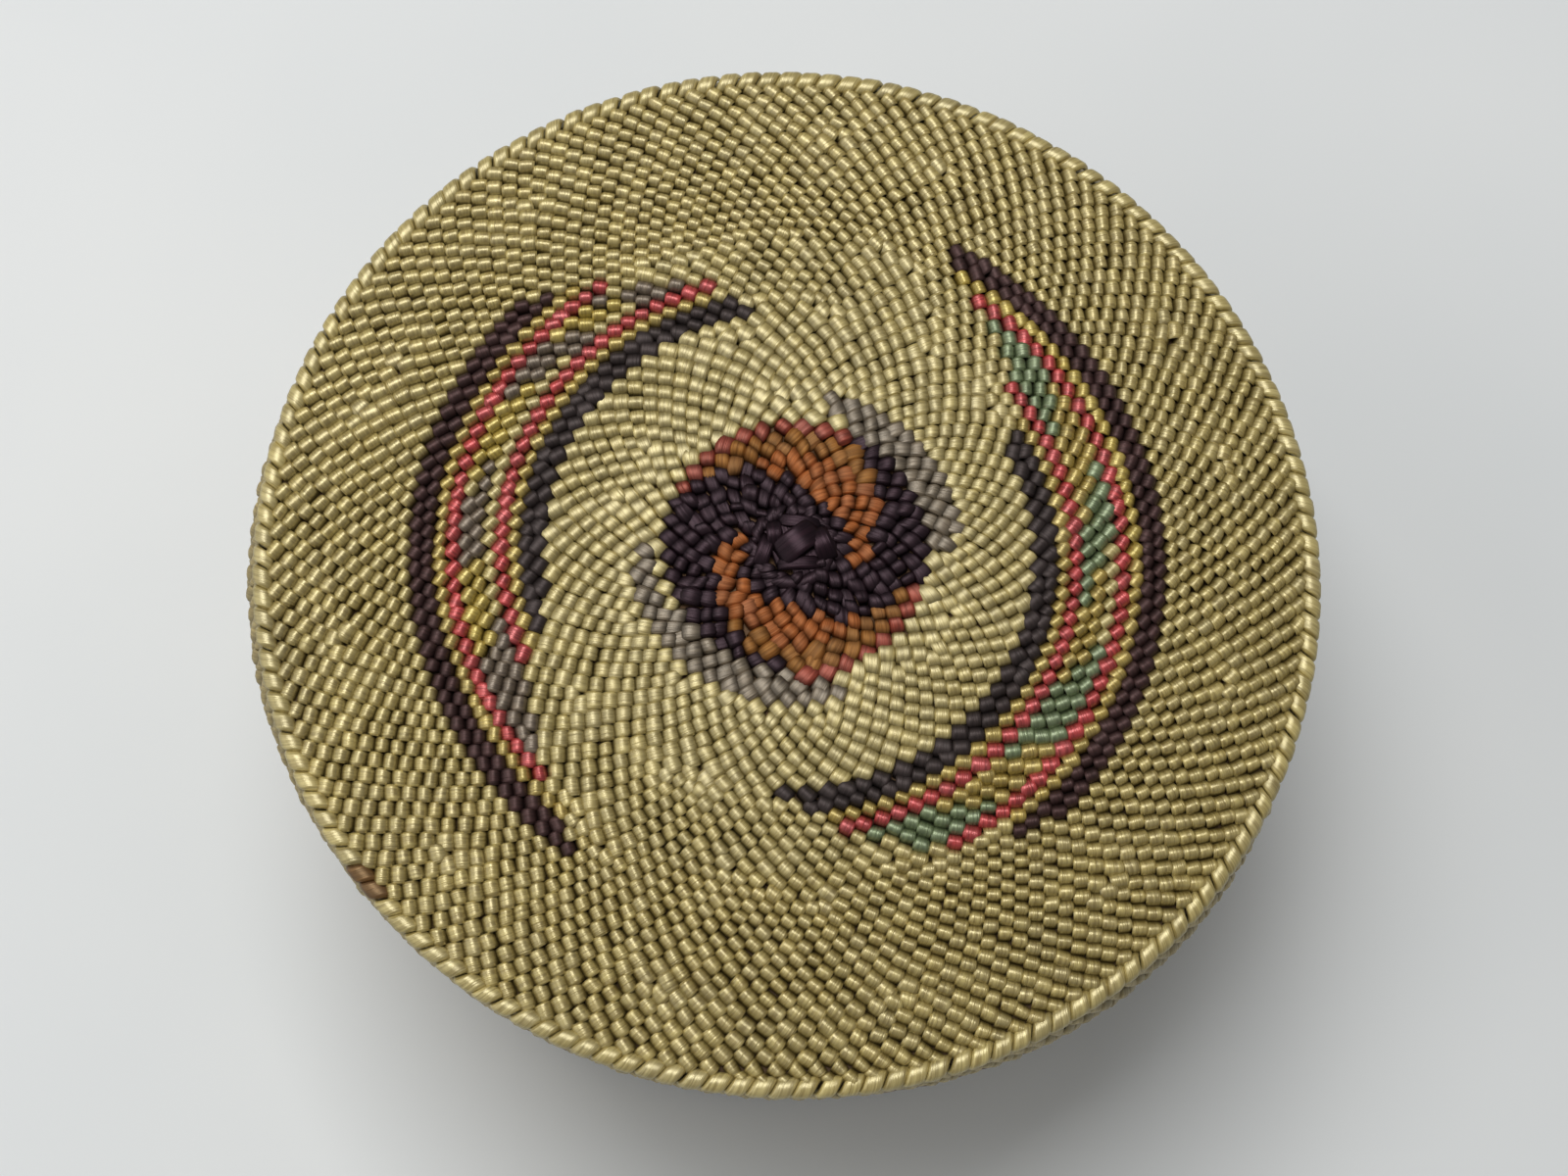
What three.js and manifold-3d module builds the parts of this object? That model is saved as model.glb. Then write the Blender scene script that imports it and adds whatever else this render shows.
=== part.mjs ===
// A small round lidded basket of wrapped twining: grass over bark warps, with a lift-off lid.
// Millimetres, +Z up. The origin is on the floor, under the middle of the foot.
// The fabric has three layers. The grass face is outside, the warps run inside it, and the stiff
// back wefts, round which the grass is wrapped, lie on the inner side.
import * as THREE from 'three';
import { mergeVertices } from 'three/addons/utils/BufferGeometryUtils.js';
import Module from 'manifold-3d';

const wasm = await Module();
wasm.setup();

// The lid.
const LID_RADIUS = 60; // outside of the stout round at the lid's edge
const LID_RISE = 4; // how far the lid's middle stands above its edge
const DOME_POWER = 3; // 2 is evenly domed, more is flatter in the middle
const SKIRT_DEPTH = 7.5; // from the top of the lid's edge to the lower end of the skirt
const SKIRT_PLAY = 0.6; // room between the skirt and the basket's rim, on the radius
const SKIRT_BINDING = 1.8; // height of the dark twined round that ends the skirt
const EDGE_WIDTH = 2.3; // how much of the top the edge round covers
const EDGE_DROP = 2.2; // how far the edge round reaches down
const EDGE_LIP = 0.4; // how far the edge round stands out past the top and the skirt
const KNOT_LENGTH = 8; // the start knot, along X
const KNOT_WIDTH = 5;
const KNOT_HEIGHT = 1.2;

// The basket.
const BASKET_HEIGHT = 60; // floor to the top of the rim
const WALL_TAPER = 2.9; // how much less the wall's radius is at the foot than at the rim
const BASE_LIFT = 0.5; // how far the bottom stands off the floor inside the foot
const BASE_WEFT = 1; // thickness of the twined rounds under the bottom
const FOOT_WIDTH = 2.8; // width of the round that the basket stands on
const FOOT_HEIGHT = 3.2;
const FOOT_LIP = 0.4; // how far the foot stands out past the wall
const RIM_BINDING = 1.6; // height of the twined round that ends the wall
const WALL_BULGE = 1.7; // 1 is a straight wall, more is fuller low down

// The fabric.
const GRASS = 1; // thickness of the wrapped grass face
const WARP_THICKNESS = 0.7;
const WARP_WIDTH = 1.5;
const BACK_WEFT = 0.8; // thickness of the stiff back wefts
const GAP = 0.3; // room between touching pieces
const LID_START_WARPS = 16; // strips that start at the lid's knot
const WARPS = 48; // strips at the lid's edge, and in the wall
const WARP_SPACE = 0.6; // room between the strips where they start in the lid
const MAT_SPACE = 1.1; // room between the strips where they leave the mat
const ROUND_STEPS = 48; // flats round each ring
const DOME_STEPS = 4; // straight stretches from the lid's middle to its edge
const WALL_STEPS = 3; // straight stretches up the wall

// Sizes that follow.
const WARP_LAYER = BACK_WEFT + GAP; // from the inner side of the fabric to the warps
const GRASS_LAYER = WARP_LAYER + WARP_THICKNESS + GAP;
const FABRIC = GRASS_LAYER + GRASS;
const SKIRT_OUTSIDE = LID_RADIUS - EDGE_LIP;
const SKIRT_INSIDE = SKIRT_OUTSIDE - FABRIC;
const RIM_RADIUS = SKIRT_INSIDE - SKIRT_PLAY;
const BASE_RADIUS = RIM_RADIUS - WALL_TAPER; // outside of the wall at the foot
const LID_BASE = BASKET_HEIGHT + GAP - domeHeight(RIM_RADIUS); // underside of the lid, carried out to its edge
const SKIRT_END = LID_BASE + FABRIC - SKIRT_DEPTH;
const BASE_WARP = BASE_LIFT + BASE_WEFT + GAP; // underside of the warps in the bottom
const BASE_BACK = BASE_WARP + WARP_THICKNESS + GAP;
const WALL_TOP = BASKET_HEIGHT - RIM_BINDING - GAP;
const MAT_RADIUS = (WARPS * (WARP_WIDTH + MAT_SPACE)) / (2 * Math.PI);

const GRASS_COLOUR = 0xb9a871;
const EDGE_COLOUR = 0xc2b075;
const BARK_COLOUR = 0x8a6038;
const BACK_COLOUR = 0x9c8556;
const DARK_COLOUR = 0x3b2420;
const KNOT_COLOUR = 0x2c1e2a;

function domeHeight(radius) {
  return LID_RISE * (1 - (radius / LID_RADIUS) ** DOME_POWER);
}

// Height of a layer of the lid's top, which lies the given distance above its underside.
function lidHeight(radius, layer) {
  return LID_BASE + layer + domeHeight(radius);
}

// Outside of the wall at a height above the floor.
function wallRadius(height) {
  const share = Math.max(0, height - FOOT_HEIGHT) / (BASKET_HEIGHT - FOOT_HEIGHT);
  return RIM_RADIUS - WALL_TAPER * (1 - share) ** WALL_BULGE;
}

// Points along one layer of the lid's top, from one radius to another.
function domeLine(from, to, layer) {
  const points = [];
  for (let step = 0; step <= DOME_STEPS; step += 1) {
    const radius = from + ((to - from) * step) / DOME_STEPS;
    points.push([radius, lidHeight(radius, layer)]);
  }
  return points;
}

// The two ends of a short stretch of a layer of the lid's top.
function arcLine(from, to, layer) {
  return [
    [from, lidHeight(from, layer)],
    [to, lidHeight(to, layer)],
  ];
}

// Points along one layer of the wall, the given distance in from its outside.
function wallLine(from, to, inset) {
  const points = [];
  for (let step = 0; step <= WALL_STEPS; step += 1) {
    const height = from + ((to - from) * step) / WALL_STEPS;
    points.push([wallRadius(height) - inset, height]);
  }
  return points;
}

function finish(color, roughness) {
  return new THREE.MeshStandardMaterial({ color, roughness, metalness: 0 });
}

function named(name, geometry, material) {
  const mesh = new THREE.Mesh(geometry, material);
  mesh.name = name;
  return mesh;
}

// A ring or a disc: its section, as [radius, height] points, turned round the Z axis.
// The points run with the solid on their left, and a ring's section closes on its first point.
function ring(section) {
  const onAxis = section[0][0] === 0;
  const closed = onAxis ? section : [...section, section[0]];
  const points = closed.map(([radius, height]) => new THREE.Vector2(radius, height));
  const geometry = new THREE.LatheGeometry(points, ROUND_STEPS);
  geometry.rotateX(Math.PI / 2);
  return geometry;
}

function turned(name, section, material) {
  return named(name, ring(section), material);
}

// One flat strip standing in the plane of the Z axis: its outline, as [radius, height] points,
// given the warps' width and turned to its own place.
function strip(outline, turn) {
  const shape = new THREE.Shape(outline.map(([radius, height]) => new THREE.Vector2(radius, height)));
  const geometry = new THREE.ExtrudeGeometry(shape, { depth: WARP_WIDTH, bevelEnabled: false });
  geometry.translate(0, 0, -WARP_WIDTH / 2);
  geometry.rotateX(Math.PI / 2);
  geometry.rotateZ(turn);
  return geometry;
}

// Each strip lies in the middle of a flat of the rings round it.
function turnOf(index) {
  return ((index + 0.5) * 2 * Math.PI) / WARPS;
}

// Solids that are one piece in the real fabric, joined to one closed body.
function joined(geometries) {
  let whole = null;
  for (const geometry of geometries) {
    geometry.deleteAttribute('normal');
    geometry.deleteAttribute('uv');
    const merged = mergeVertices(geometry);
    const mesh = new wasm.Mesh({
      numProp: 3,
      vertProperties: merged.attributes.position.array,
      triVerts: Uint32Array.from(merged.index.array),
    });
    const solid = new wasm.Manifold(mesh);
    whole = whole === null ? solid : whole.add(solid);
  }
  const result = whole.getMesh();
  const geometry = new THREE.BufferGeometry();
  geometry.setAttribute('position', new THREE.BufferAttribute(Float32Array.from(result.vertProperties), 3));
  geometry.setIndex(new THREE.BufferAttribute(Uint32Array.from(result.triVerts), 1));
  geometry.computeVertexNormals();
  return geometry;
}

function lidStartKnot() {
  const shape = new THREE.Shape();
  shape.absellipse(0, 0, KNOT_LENGTH / 2, KNOT_WIDTH / 2, 0, 2 * Math.PI);
  const bevel = KNOT_HEIGHT / 2;
  const geometry = new THREE.ExtrudeGeometry(shape, {
    depth: KNOT_HEIGHT - bevel,
    bevelThickness: bevel,
    bevelSize: bevel,
    bevelOffset: -bevel,
    bevelSegments: 2,
    curveSegments: 10,
  });
  // The bevel on the underside is pressed flat against the lid.
  const place = geometry.attributes.position;
  for (let index = 0; index < place.count; index += 1) {
    place.setZ(index, Math.max(0, place.getZ(index)));
  }
  geometry.translate(0, 0, lidHeight(0, FABRIC) + GAP);
  return named('lid_start_knot', geometry, finish(KNOT_COLOUR, 0.5));
}

function lidGrassTop() {
  const edge = SKIRT_OUTSIDE - EDGE_WIDTH;
  const face = domeLine(edge, 0, FABRIC);
  const under = domeLine(0, edge, GRASS_LAYER);
  return turned('lid_grass_top', [...under, ...face], finish(GRASS_COLOUR, 0.55));
}

// The lid's strips cross under the knot. More are laid in at the round where there is room for
// all of them side by side, and that round ties them to the first ones.
function lidWarps() {
  const outside = SKIRT_INSIDE + WARP_LAYER + WARP_THICKNESS;
  const inside = SKIRT_INSIDE + WARP_LAYER;
  const end = SKIRT_END + SKIRT_BINDING + GAP;
  const upper = WARP_LAYER + WARP_THICKNESS;
  const crossing = (LID_START_WARPS * (WARP_WIDTH + WARP_SPACE)) / (2 * Math.PI);
  const laidIn = (WARPS * (WARP_WIDTH + WARP_SPACE)) / (2 * Math.PI);
  const tie = laidIn + WARP_WIDTH;
  const disc = [...arcLine(0, crossing, WARP_LAYER), ...arcLine(crossing, 0, upper)];
  const round = [...arcLine(laidIn, tie, WARP_LAYER), ...arcLine(tie, laidIn, upper)];
  const pieces = [ring(disc), ring(round)];
  for (let index = 0; index < WARPS; index += 1) {
    const fromKnot = index % (WARPS / LID_START_WARPS) === 0;
    const start = fromKnot ? crossing - WARP_WIDTH : laidIn;
    const outline = [...domeLine(start, inside, WARP_LAYER), [inside, end], [outside, end]];
    outline.push(...domeLine(outside, start, upper));
    pieces.push(strip(outline, turnOf(index)));
  }
  return named('lid_warps', joined(pieces), finish(BARK_COLOUR, 0.8));
}

function lidBackWefts() {
  const end = SKIRT_END + SKIRT_BINDING + GAP;
  const outside = SKIRT_INSIDE + BACK_WEFT;
  const section = [...domeLine(0, SKIRT_INSIDE, 0), [SKIRT_INSIDE, end], [outside, end]];
  section.push(...domeLine(outside, 0, BACK_WEFT));
  return turned('lid_back_wefts', section, finish(BACK_COLOUR, 0.75));
}

function lidEdgeRound() {
  const inner = SKIRT_OUTSIDE - EDGE_WIDTH + GAP;
  const grassInside = SKIRT_INSIDE + GRASS_LAYER;
  const under = lidHeight(inner, GRASS_LAYER);
  const top = lidHeight(inner, FABRIC) + EDGE_LIP;
  const bottom = top - EDGE_DROP - EDGE_LIP;
  const round = EDGE_LIP + GRASS / 2;
  const section = [
    [inner, under],
    [grassInside, under],
    [grassInside, bottom],
    [LID_RADIUS - EDGE_LIP, bottom],
    [LID_RADIUS, bottom + EDGE_LIP],
    [LID_RADIUS, top - round],
    [LID_RADIUS - round, top],
    [inner, top],
  ];
  return turned('lid_edge_round', section, finish(EDGE_COLOUR, 0.5));
}

function lidSkirtGrass() {
  const inside = SKIRT_INSIDE + GRASS_LAYER;
  const low = SKIRT_END + SKIRT_BINDING + GAP;
  const high = lidHeight(SKIRT_OUTSIDE - EDGE_WIDTH + GAP, FABRIC) - EDGE_DROP - GAP;
  const section = [
    [inside, low],
    [SKIRT_OUTSIDE, low],
    [SKIRT_OUTSIDE, high],
    [inside, high],
  ];
  return turned('lid_skirt_grass', section, finish(GRASS_COLOUR, 0.55));
}

function lidSkirtBinding() {
  const high = SKIRT_END + SKIRT_BINDING;
  const round = SKIRT_BINDING / 3;
  const section = [
    [SKIRT_INSIDE, SKIRT_END + round],
    [SKIRT_INSIDE + round, SKIRT_END],
    [SKIRT_OUTSIDE - round, SKIRT_END],
    [SKIRT_OUTSIDE, SKIRT_END + round],
    [SKIRT_OUTSIDE, high],
    [SKIRT_INSIDE, high],
  ];
  return turned('lid_skirt_binding', section, finish(DARK_COLOUR, 0.7));
}

function baseWefts() {
  const inner = MAT_RADIUS + GAP;
  const outer = BASE_RADIUS - FOOT_WIDTH - GAP;
  const section = [
    [inner, BASE_LIFT],
    [outer, BASE_LIFT],
    [outer, BASE_LIFT + BASE_WEFT],
    [inner, BASE_LIFT + BASE_WEFT],
  ];
  return turned('base_wefts', section, finish(BACK_COLOUR, 0.75));
}

function footRound() {
  const inner = BASE_RADIUS - FOOT_WIDTH;
  const outer = BASE_RADIUS + FOOT_LIP;
  const grassInside = BASE_RADIUS - GRASS;
  const under = BASE_LIFT + BASE_WEFT;
  const section = [
    [inner, 0],
    [outer - FOOT_LIP, 0],
    [outer, FOOT_LIP],
    [outer, FOOT_HEIGHT - FOOT_LIP],
    [outer - FOOT_LIP, FOOT_HEIGHT],
    [grassInside, FOOT_HEIGHT],
    [grassInside, under],
    [inner, under],
  ];
  return turned('foot_round', section, finish(DARK_COLOUR, 0.7));
}

// The strips cross in the middle of the bottom as a plaited mat, run out under the floor of the
// basket and stand up inside the wall.
function barkWarps() {
  const outside = GRASS + GAP;
  const inside = outside + WARP_THICKNESS;
  const low = BASE_WARP;
  const high = low + WARP_THICKNESS;
  const start = MAT_RADIUS - WARP_WIDTH;
  const mat = [
    [0, BASE_LIFT],
    [MAT_RADIUS, BASE_LIFT],
    [MAT_RADIUS, high],
    [0, high],
  ];
  const outline = [[start, low], ...wallLine(low, WALL_TOP, outside), ...wallLine(WALL_TOP, high, inside)];
  outline.push([start, high]);
  const pieces = [ring(mat)];
  for (let index = 0; index < WARPS; index += 1) {
    pieces.push(strip(outline, turnOf(index)));
  }
  return named('mat_and_warps', joined(pieces), finish(BARK_COLOUR, 0.8));
}

function wallGrass() {
  const low = FOOT_HEIGHT + GAP;
  const section = [...wallLine(low, WALL_TOP, 0), ...wallLine(WALL_TOP, low, GRASS)];
  return turned('wall_grass', section, finish(GRASS_COLOUR, 0.55));
}

function wallBackWefts() {
  const start = MAT_RADIUS + GAP;
  const outside = FABRIC - BACK_WEFT;
  const high = BASE_BACK + BACK_WEFT;
  const outer = wallLine(BASE_BACK, WALL_TOP, outside);
  const inner = wallLine(WALL_TOP, high, FABRIC);
  const section = [[start, BASE_BACK], ...outer, ...inner, [start, high]];
  return turned('wall_back_wefts', section, finish(BACK_COLOUR, 0.75));
}

function rimBinding() {
  const low = BASKET_HEIGHT - RIM_BINDING;
  const round = RIM_BINDING / 3;
  const inner = RIM_RADIUS - FABRIC;
  const section = [
    [inner, low],
    [RIM_RADIUS, low],
    [RIM_RADIUS, BASKET_HEIGHT - round],
    [RIM_RADIUS - round, BASKET_HEIGHT],
    [inner + round, BASKET_HEIGHT],
    [inner, BASKET_HEIGHT - round],
  ];
  return turned('rim_binding', section, finish(DARK_COLOUR, 0.7));
}

const basket = new THREE.Group();
basket.add(barkWarps(), baseWefts(), footRound());
basket.add(wallGrass(), wallBackWefts(), rimBinding());

const lid = new THREE.Group();
lid.add(lidStartKnot(), lidGrassTop(), lidWarps(), lidBackWefts());
lid.add(lidEdgeRound(), lidSkirtGrass(), lidSkirtBinding());

const part = new THREE.Group();
part.add(basket, lid);
export default part;
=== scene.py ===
import math

import bpy
import numpy as np
from mathutils import Matrix, Vector


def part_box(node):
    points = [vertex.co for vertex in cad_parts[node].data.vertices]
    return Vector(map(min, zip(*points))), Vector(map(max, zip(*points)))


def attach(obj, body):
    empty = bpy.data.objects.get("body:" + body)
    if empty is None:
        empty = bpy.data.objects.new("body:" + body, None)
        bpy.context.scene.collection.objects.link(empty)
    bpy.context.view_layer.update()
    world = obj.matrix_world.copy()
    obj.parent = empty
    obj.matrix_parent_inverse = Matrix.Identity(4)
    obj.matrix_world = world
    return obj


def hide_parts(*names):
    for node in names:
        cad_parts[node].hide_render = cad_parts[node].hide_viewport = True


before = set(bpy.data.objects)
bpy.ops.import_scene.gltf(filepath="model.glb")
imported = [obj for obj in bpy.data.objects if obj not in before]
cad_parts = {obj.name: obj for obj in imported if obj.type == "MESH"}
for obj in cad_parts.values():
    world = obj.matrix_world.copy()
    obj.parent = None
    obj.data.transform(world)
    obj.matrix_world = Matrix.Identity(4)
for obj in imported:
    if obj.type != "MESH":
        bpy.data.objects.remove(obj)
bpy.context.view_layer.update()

MM = 0.001
TURN = 2 * math.pi
rng = np.random.default_rng(11)


def radius_of(node):
    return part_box(node)[1].x / MM


def top_of(node):
    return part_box(node)[1].z / MM


def bottom_of(node):
    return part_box(node)[0].z / MM


# Sizes taken from the solids.
LID_RADIUS = radius_of("lid_edge_round")
LID_TOP = top_of("lid_grass_top")
SKIRT_RADIUS = radius_of("lid_skirt_grass")
SKIRT_END = bottom_of("lid_skirt_binding")
BINDING_TOP = top_of("lid_skirt_binding")
RIM_RADIUS = radius_of("rim_binding")
RIM_TOP = top_of("rim_binding")
RIM_LOW = bottom_of("rim_binding")
WALL_TOP = top_of("wall_grass")
WALL_LOW = bottom_of("wall_grass")
FOOT_RADIUS = radius_of("foot_round")
FOOT_TOP = top_of("foot_round")
BASE_RADIUS = radius_of("base_wefts")
BASE_LOW = bottom_of("base_wefts")

# The lid's form.
LID_RISE = 4.0
DOME_POWER = 3
EDGE_PLANE = LID_TOP - LID_RISE
BEAD = 0.5  # height of a stitch above the sheet that it lies on
CORNER = 1.6  # radius of the lid's edge, seen in section
FABRIC = 3.1  # thickness of the fabric, from the stitches to the back wefts
WEFT = 0.42  # radius of a stiff back weft

# The wall's form.
WALL_BULGE = 1.7
FOOT_LIP = 0.4
WALL_TAPER = RIM_RADIUS - (FOOT_RADIUS - FOOT_LIP)
ROUND_RISE = 1.4  # height of one round of stitches
ROUND_COUNT = 150.5  # stitches in a round of the wall


# Sheets: where a point at some angle and progress lies on each face of the basket.

# Points along the lid's section: on the top, round the corner and down the skirt.
TOP_POINTS = 120
CORNER_POINTS = 16
SIDE_POINTS = 20


def eased(share):
    """A share from 0 to 1, with a soft start and end."""
    share = np.clip(share, 0, 1)
    return share * share * (3 - 2 * share)


def looked_up(place, table):
    """The value at a place, from a table of places and values."""
    places, values = zip(*table)
    return np.interp(place, places, values)


def around(radius, angle, height):
    """Points at a distance from the middle, at an angle and at a height."""
    radius, angle, height = np.broadcast_arrays(radius, angle, height)
    return np.stack([radius * np.cos(angle), radius * np.sin(angle), height], axis=-1)


def lid_section():
    """The section of the lid's outside: progress, radius, height, and the outward normal."""
    steepest = math.atan(LID_RISE * DOME_POWER / LID_RADIUS)
    start = SKIRT_RADIUS - BEAD - CORNER * (1 - math.sin(steepest))
    radius = np.linspace(0, start, TOP_POINTS)
    height = EDGE_PLANE - BEAD + LID_RISE * (1 - (radius / LID_RADIUS) ** DOME_POWER)
    slope = LID_RISE * DOME_POWER / LID_RADIUS * (radius / LID_RADIUS) ** (DOME_POWER - 1)
    lean = np.arctan(slope)
    top = np.stack([radius, radius, height, np.sin(lean), np.cos(lean)], axis=1)
    middle_radius = start - CORNER * math.sin(lean[-1])
    middle_height = height[-1] - CORNER * math.cos(lean[-1])
    bend = np.linspace(lean[-1], math.pi / 2, CORNER_POINTS)[1:]
    across = middle_radius + CORNER * np.sin(bend)
    rise = middle_height + CORNER * np.cos(bend)
    progress = start + CORNER * (bend - lean[-1])
    corner = np.stack([progress, across, rise, np.sin(bend), np.cos(bend)], axis=1)
    drop = np.linspace(0, middle_height - SKIRT_END, SIDE_POINTS)[1:]
    one = np.ones_like(drop)
    side = np.stack([progress[-1] + drop, across[-1] * one, middle_height - drop, one, 0 * one], axis=1)
    return np.concatenate([top, corner, side]), progress[-1], middle_height


LID_SECTION, CORNER_END, CORNER_LOW = lid_section()
LID_END = LID_SECTION[-1, 0]  # progress at the skirt's lower end
SKIRT_DEPTH = CORNER_LOW - SKIRT_END

# The skirt isn't quite round: it stands out past the edge in three places. Each entry is an angle
# in degrees and how far the skirt stands out there.
FLARE = [
    (0, -0.3), (48, 1.5), (112, -0.3), (180, 1.2), (235, -0.3), (262, -0.5), (312, 0.9), (360, -0.3),
]
FLARE_SHARE = 0.4  # the part of the skirt's depth in which it flares


def flare(angle):
    """How far the skirt's lower end stands out, all round."""
    degrees = np.degrees(angle) % 360
    places, amounts = zip(*FLARE)
    index = np.clip(np.searchsorted(places, degrees, side="right") - 1, 0, len(places) - 2)
    share = (degrees - np.take(places, index)) / (np.take(places, index + 1) - np.take(places, index))
    share = (1 - np.cos(math.pi * share)) / 2
    return np.take(amounts, index) * (1 - share) + np.take(amounts, index + 1) * share


def lid_sheet(angle, progress, lift):
    """The lid's outside. Angles run anticlockwise, progress outward, then down the skirt."""
    places, *columns = LID_SECTION.T
    radius, height, out, up = (np.interp(progress, places, column) for column in columns)
    down = eased((progress - CORNER_END) / (SKIRT_DEPTH * FLARE_SHARE))
    return around(radius + out * lift + flare(angle) * down, angle, height + up * lift)


def wall_radius(height):
    share = np.clip((height - FOOT_TOP) / (RIM_TOP - FOOT_TOP), 0, 1)
    return RIM_RADIUS - WALL_TAPER * (1 - share) ** WALL_BULGE


def wall_sheet(angle, progress, lift):
    """The wall's outside. Angles run clockwise, and progress is the height."""
    return around(wall_radius(progress) - BEAD + lift, -angle, progress)


def base_sheet(angle, progress, lift):
    """The underside of the bottom. Angles run clockwise from above, and progress is the radius."""
    return around(progress, -angle, BASE_LOW + BEAD - lift)


def flat_sheet(height, up):
    """A level face. Angle and progress are X and Y there."""

    def place(x, y, lift):
        return np.stack([x, y, height + up * lift + 0 * x], axis=-1)

    return place


def hoop_sheet(radius, height, half_width, half_height):
    """A round stout rim. Angles run clockwise, and progress goes round the section, in radians."""

    def place(angle, progress, lift):
        across = radius + (half_width + lift) * np.cos(progress)
        rise = height + (half_height + lift) * np.sin(progress)
        return around(across, -angle, rise)

    return place


# Meshes.


def placed(name, data):
    """A new object in the scene."""
    obj = bpy.data.objects.new(name, data)
    bpy.context.scene.collection.objects.link(obj)
    return obj


def mesh_object(name, points, faces, local=None, stain_and_shade=None):
    """A smooth mesh object from arrays of points, in millimetres, and of four-sided faces."""
    mesh = bpy.data.meshes.new(name)
    mesh.vertices.add(len(points))
    mesh.vertices.foreach_set("co", (points * MM).astype(np.float32).ravel())
    mesh.loops.add(faces.size)
    mesh.loops.foreach_set("vertex_index", faces.astype(np.int32).ravel())
    mesh.polygons.add(len(faces))
    mesh.polygons.foreach_set("loop_start", np.arange(0, faces.size, 4, dtype=np.int32))
    mesh.polygons.foreach_set("use_smooth", np.ones(len(faces), bool))
    mesh.update(calc_edges=True)
    if local is not None:
        layer = mesh.attributes.new("local", "FLOAT_VECTOR", "POINT")
        layer.data.foreach_set("vector", local.astype(np.float32).ravel())
    if stain_and_shade is not None:
        layer = mesh.attributes.new("stain_and_shade", "FLOAT", "POINT")
        layer.data.foreach_set("value", stain_and_shade.astype(np.float32).ravel())
    return placed(name, mesh)


def grid_faces(count, rows, columns, flip=False):
    """The faces of a number of grids of points, each of so many rows and columns."""
    corner = np.arange((rows - 1) * columns).reshape(rows - 1, columns)[:, :-1].ravel()
    face = np.stack([corner, corner + columns, corner + columns + 1, corner + 1], axis=1)
    if flip:
        face = face[:, ::-1]
    offsets = np.arange(count) * rows * columns
    return (face[None] + offsets[:, None, None]).reshape(-1, 4)


DIVE = math.radians(103)  # how far the fibres turn down on either side of a stitch
CROWDING = 0.8  # below 1, the points across a stitch crowd towards its sides
SHOULDER_POWER = 6  # the higher, the closer to its sides a stitch begins to fall away
FLATTENING = 0.55  # how much flatter the arch of a flat stitch is
PINCH_BALANCE = 0.4  # the part of the pinch by which a stitch is wider in its middle
STRAND_SHARES = (0.7, 1.5)  # the least and the most strands in a stitch, as a share of the usual
# How uneven the stitches are: spreads of their places and heights, and the deepest ridge.
UNEVEN_PLACE = 0.05
UNEVEN_HEIGHT = 0.08
UNEVEN_TIP = 0.035
UNEVEN_SLOPE = 0.03
DEEPEST_RIDGE = 0.035


class Stitch:
    """The form of one kind of stitch, or of many, with an array of one value for each.

    It is a short barrel: fibres arch over it and dive at both ends, and it's nearly straight across.
    """

    lift = 0.0  # height of its sides above the sheet
    reach = 1.1  # the share of its cell that it fills along its fibres
    seam = 0.97  # the share of its cell that it fills across them
    strands = 3.0  # how many ridges its fibres make
    ragged = 1.0  # how uneven it is
    shoulder = 0.26  # how far its sides fall away
    pinch = 0.0  # how much narrower its ends are
    flat = 0.0  # how flat its top is, from 0 to 1

    def __init__(self, height, along, across, **other):
        """A stitch has a height, and numbers of points along and across."""
        self.height = height
        self.along = along
        self.across = across
        for name, value in other.items():
            setattr(self, name, value)


def cells(*ends):
    """Cells of stitches, from the angle and the progress of each of their four corners."""
    return np.stack([np.stack(np.broadcast_arrays(*end), axis=1) for end in ends], axis=1)


def for_each(values):
    """One value for each stitch, shaped to work on grids of points."""
    return values[:, None, None]


def squared(corners, radius):
    """How far each cell must be sheared along its fibres to have square corners."""
    scale = np.stack([radius, np.ones_like(radius)], axis=-1)[:, None]
    flat = corners * scale
    fibre = flat[:, 2] + flat[:, 3] - flat[:, 0] - flat[:, 1]
    barrel = flat[:, 1] + flat[:, 3] - flat[:, 0] - flat[:, 2]
    return for_each(-(fibre * barrel).sum(axis=1) / (fibre**2).sum(axis=1))


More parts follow.
